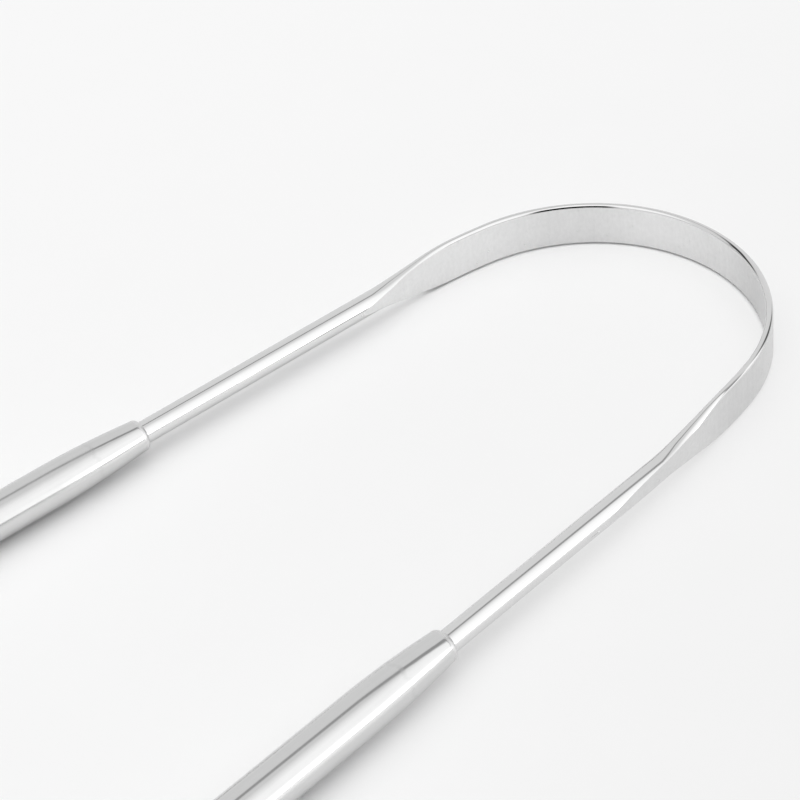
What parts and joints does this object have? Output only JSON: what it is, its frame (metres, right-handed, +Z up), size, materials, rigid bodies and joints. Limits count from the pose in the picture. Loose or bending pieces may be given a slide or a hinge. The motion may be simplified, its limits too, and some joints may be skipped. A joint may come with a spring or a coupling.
{
  "type": "tongue scraper",
  "caption": "Bow-shaped steel tongue scraper: a round wire pressed to an upright flat strip at its rounded nose, with slightly splayed arms held in tubular, domed handles.",
  "frame": {"origin": "middle of the overall box, on the plane that the object lies on, which its strip's lower edge touches", "axes": "+X along the middle line towards the rounded nose, +Y towards the left arm seen from the handles, +Z up, square to the bow's plane; the object lies flat as in use on a table"},
  "size_m": [0.1506, 0.0688, 0.0064],
  "materials": {
    "wire_steel": "polished round wire with satin flats on the pressed strip",
    "tube_steel": "polished",
    "cap_steel": "polished"
  },
  "bodies": {
    "scraper": {"scraper_bow": "wire_steel", "left_handle_tube": "tube_steel", "right_handle_tube": "tube_steel", "left_tail_cap": "cap_steel", "right_tail_cap": "cap_steel"}
  },
  "joints": []
}
